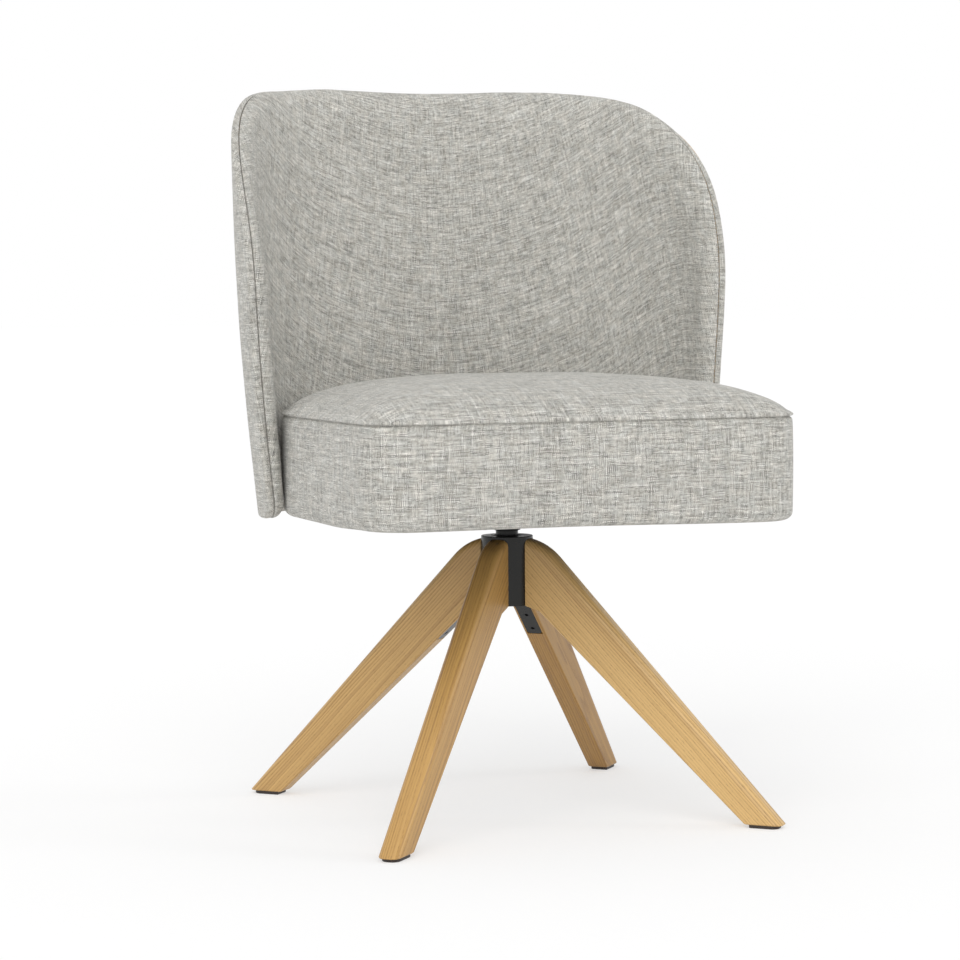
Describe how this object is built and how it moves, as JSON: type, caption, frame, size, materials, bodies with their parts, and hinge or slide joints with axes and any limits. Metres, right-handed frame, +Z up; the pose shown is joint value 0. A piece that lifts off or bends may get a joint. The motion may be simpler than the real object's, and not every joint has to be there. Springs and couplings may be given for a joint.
{
  "type": "swivel dining chair",
  "caption": "Swivel dining chair with a padded seat, a curved wrap-around upholstered back and splayed oak legs slotted into a black metal hub.",
  "frame": {"origin": "on the floor under the swivel axis", "axes": "+Z up along the swivel axis, the seat's front towards -Y, +X to the right of a person facing the chair's front"},
  "size_m": [0.6066, 0.5213, 0.8457],
  "materials": {
    "black_metal": "matt black powder coat",
    "oak": "natural oak under clear satin lacquer",
    "glide_brown": "dark brown moulded plastic",
    "zinc_steel": "dark zinc plate",
    "bush_polymer": "moulded bearing polymer",
    "plywood": "bare plywood",
    "foam": "open cell foam",
    "upholstery": "light grey beige melange weave",
    "dust_cloth": "black non-woven cloth"
  },
  "bodies": {
    "base": {"hub_casting": "black_metal", "leg_front_right": "oak", "leg_rear_right": "oak", "leg_rear_left": "oak", "leg_front_left": "oak", "leg_spider_plate": "black_metal", "leg_screws": "zinc_steel", "hub_screws": "zinc_steel", "glide_front_right": "glide_brown", "glide_rear_right": "glide_brown", "glide_rear_left": "glide_brown", "glide_front_left": "glide_brown", "glide_screws": "zinc_steel", "upper_bush": "bush_polymer", "lower_bush": "bush_polymer", "thrust_washer": "bush_polymer"},
    "seat_unit": {"swivel_spindle": "black_metal", "seat_plate": "black_metal", "back_bracket_right": "black_metal", "back_bracket_left": "black_metal", "seat_plate_bolts": "zinc_steel", "bracket_bolts": "zinc_steel", "seat_board_inserts": "zinc_steel", "back_shell_inserts": "zinc_steel", "spindle_washer": "zinc_steel", "spindle_retaining_ring": "zinc_steel", "seat_board": "plywood", "back_shell": "plywood", "seat_foam": "foam", "seat_cover": "upholstery", "back_outer_cover": "upholstery", "back_front_pad": "upholstery", "seat_dust_cover": "dust_cloth"}
  },
  "joints": [
    {"name": "swivel", "type": "hinge", "parent": "base", "child": "seat_unit", "pos_m": [0, 0, 0.3], "axis": [0, 0, 1], "continuous": true}
  ]
}
